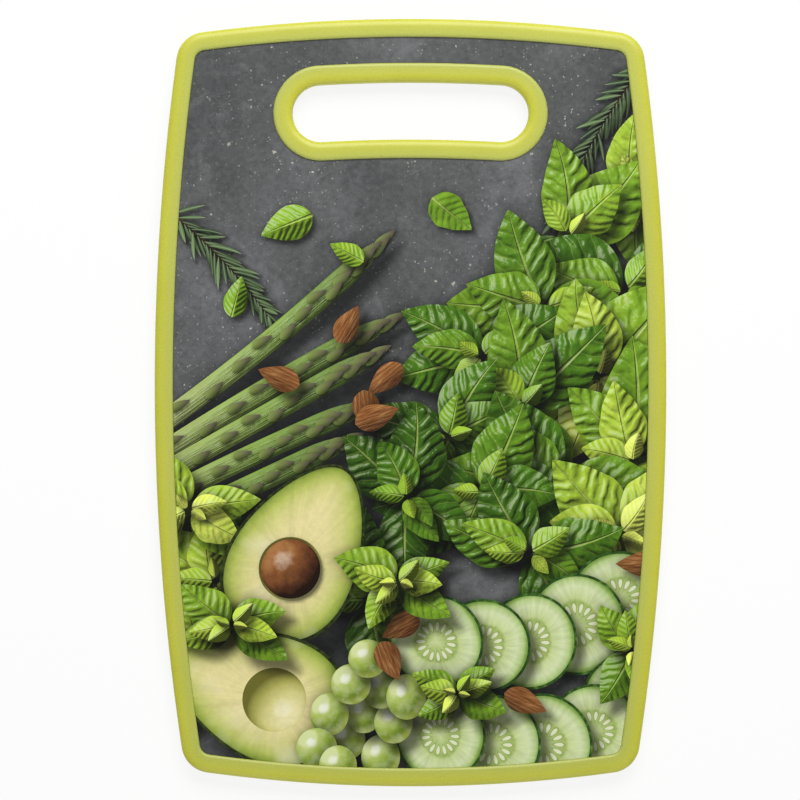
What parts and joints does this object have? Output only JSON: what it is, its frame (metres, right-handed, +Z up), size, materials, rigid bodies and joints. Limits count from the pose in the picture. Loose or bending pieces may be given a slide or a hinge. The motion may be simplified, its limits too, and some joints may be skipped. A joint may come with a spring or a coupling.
{
  "type": "cutting board",
  "caption": "Flat kitchen cutting board with bowed edges, a printed face, a hand slot near one end, and soft rims round its edge and slot.",
  "frame": {"origin": "middle of the outline, on the surface that the board rests on", "axes": "+Y along the length towards the handle slot, +X across the width, +Z up out of the printed face"},
  "size_m": [0.24, 0.36, 0.009],
  "materials": {
    "panel_plastic": "white moulded polypropylene, fine matt texture",
    "print": "satin film with a printed dark slate picture with green food",
    "soft_rim": "satin lime thermoplastic rubber"
  },
  "bodies": {
    "root": {"core_panel": "panel_plastic", "printed_film": "print", "edge_rim": "soft_rim", "handle_rim": "soft_rim"}
  },
  "joints": []
}
